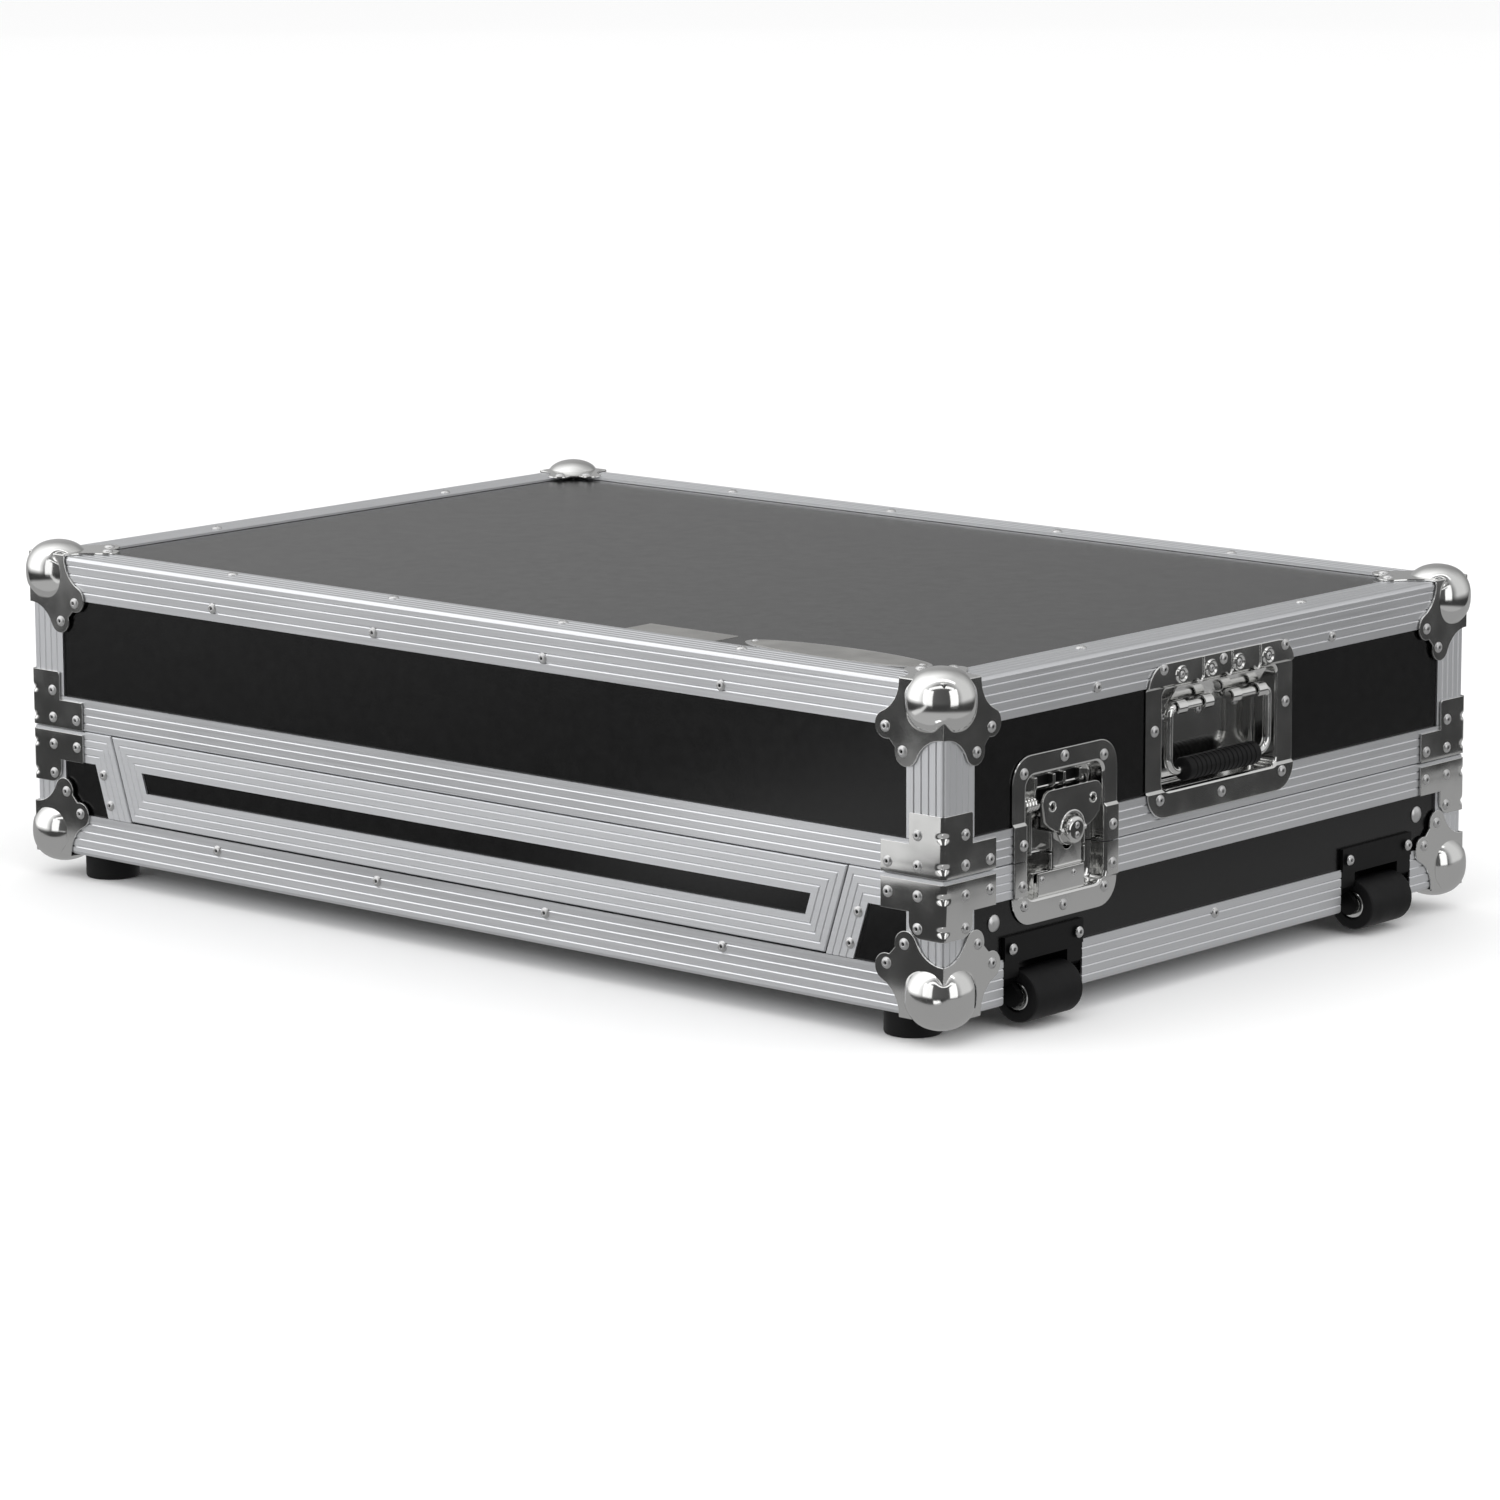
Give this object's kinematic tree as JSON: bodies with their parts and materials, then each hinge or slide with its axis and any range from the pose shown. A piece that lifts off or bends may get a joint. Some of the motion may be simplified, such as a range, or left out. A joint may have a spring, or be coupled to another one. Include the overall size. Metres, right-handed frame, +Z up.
{
  "type": "dj controller flight case",
  "caption": "Wheeled black flight case for a dj controller, with a hinged lid, a lift-out front door, ball corners, twist latches and recessed handles.",
  "frame": {"origin": "on the floor under the middle of the case's body, level with the undersides of its feet", "axes": "+X towards the end with the wheels, -Y towards the front with its lift-out door, +Z up"},
  "size_m": [0.8589, 0.5754, 0.2397],
  "materials": {
    "laminate": "plywood faced with black textured laminate",
    "aluminium": "grooved, satin",
    "chrome": "bright plated steel",
    "steel": "plated wire with a black rubber grip",
    "rubber": "matte black",
    "plastic": "moulded black",
    "foam": "dark grey foam"
  },
  "bodies": {
    "case": {"base_back_panel": "laminate", "base_ball_corner_front_left": "chrome", "base_ball_corner_front_right": "chrome", "base_ball_corner_rear_left": "chrome", "base_ball_corner_rear_right": "chrome", "base_brace_front_left": "chrome", "base_brace_front_right": "chrome", "base_brace_rear_left": "chrome", "base_brace_rear_right": "chrome", "base_door_jamb_left": "aluminium", "base_door_jamb_right": "aluminium", "base_edge_frame": "aluminium", "base_floor_panel": "laminate", "base_foam_tray": "foam", "base_front_panel": "laminate", "base_left_panel": "laminate", "base_rail_between_wheels": "aluminium", "base_right_panel": "laminate", "base_seam_channel_rear": "aluminium", "foot_front_left": "rubber", "foot_front_right": "rubber", "foot_rear_left": "rubber", "foot_rear_right": "rubber", "latch_left_keeper": "chrome", "latch_right_keeper": "chrome", "wheel_housing_front": "plastic", "wheel_housing_rear": "plastic"},
    "lid": {"lid_back_panel": "laminate", "lid_ball_corner_front_left": "chrome", "lid_ball_corner_front_right": "chrome", "lid_ball_corner_rear_left": "chrome", "lid_ball_corner_rear_right": "chrome", "lid_brace_front_left": "chrome", "lid_brace_front_right": "chrome", "lid_brace_rear_left": "chrome", "lid_brace_rear_right": "chrome", "lid_edge_frame": "aluminium", "lid_foam_pad": "foam", "lid_front_panel": "laminate", "lid_left_panel": "laminate", "lid_right_panel": "laminate", "lid_seam_channel_front": "aluminium", "lid_seam_channel_rear": "aluminium", "lid_top_panel": "laminate", "latch_left_dish": "chrome", "latch_right_dish": "chrome", "handle_left_dish": "chrome", "handle_right_dish": "chrome"},
    "door": {"door_frame": "aluminium", "door_panel": "laminate"},
    "front_wheel": {"wheel_front": "rubber"},
    "rear_wheel": {"wheel_rear": "rubber"},
    "right_latch_cam": {"latch_right_cam": "chrome"},
    "right_latch_wing": {"latch_right_wing": "chrome"},
    "right_latch_hook": {"latch_right_hook": "chrome"},
    "right_bail": {"handle_right_bail": "steel"},
    "left_latch_cam": {"latch_left_cam": "chrome"},
    "left_latch_wing": {"latch_left_wing": "chrome"},
    "left_latch_hook": {"latch_left_hook": "chrome"},
    "left_bail": {"handle_left_bail": "steel"}
  },
  "joints": [
    {"name": "lid_hinge", "type": "hinge", "parent": "case", "child": "lid", "pos_m": [0, 0.2825, 0.108], "axis": [-1, 0, 0], "range_deg": [0, 95]},
    {"name": "door_draw", "type": "slide", "parent": "case", "child": "door", "axis": [0, -1, 0], "range_m": [0, 0.08]},
    {"name": "front_wheel_spin", "type": "hinge", "parent": "case", "child": "front_wheel", "pos_m": [0.415, -0.18, 0.021], "axis": [0, 1, 0], "continuous": true},
    {"name": "rear_wheel_spin", "type": "hinge", "parent": "case", "child": "rear_wheel", "pos_m": [0.415, 0.18, 0.021], "axis": [0, 1, 0], "continuous": true},
    {"name": "right_cam_turn", "type": "hinge", "parent": "lid", "child": "right_latch_cam", "pos_m": [0.418, -0.1498, 0.1208], "axis": [1, 0, 0], "range_deg": [0, 180]},
    {"name": "right_wing_fold", "type": "hinge", "parent": "right_latch_cam", "child": "right_latch_wing", "pos_m": [0.4165, -0.1498, 0.1208], "axis": [0, 1, 0], "range_deg": [0, 90]},
    {"name": "right_hook_draw", "type": "slide", "parent": "lid", "child": "right_latch_hook", "axis": [0, 0, 1], "range_m": [0, 0.008]},
    {"name": "right_bail_swing", "type": "hinge", "parent": "lid", "child": "right_bail", "pos_m": [0.416, 0.00375, 0.184], "axis": [0, -1, 0], "range_deg": [0, 90], "stiffness_Nm_per_rad": 0.05},
    {"name": "left_cam_turn", "type": "hinge", "parent": "lid", "child": "left_latch_cam", "pos_m": [-0.418, -0.1658, 0.1208], "axis": [-1, 0, 0], "range_deg": [0, 180]},
    {"name": "left_wing_fold", "type": "hinge", "parent": "left_latch_cam", "child": "left_latch_wing", "pos_m": [-0.4165, -0.1658, 0.1208], "axis": [0, -1, 0], "range_deg": [0, 90]},
    {"name": "left_hook_draw", "type": "slide", "parent": "lid", "child": "left_latch_hook", "axis": [0, 0, 1], "range_m": [0, 0.008]},
    {"name": "left_bail_swing", "type": "hinge", "parent": "lid", "child": "left_bail", "pos_m": [-0.416, 0.00375, 0.184], "axis": [0, 1, 0], "range_deg": [0, 90], "stiffness_Nm_per_rad": 0.05}
  ],
  "couplings": [
    {"joint": "right_hook_draw", "follows": "right_cam_turn", "m_per_rad": 0.0025464},
    {"joint": "left_hook_draw", "follows": "left_cam_turn", "m_per_rad": 0.0025464}
  ]
}
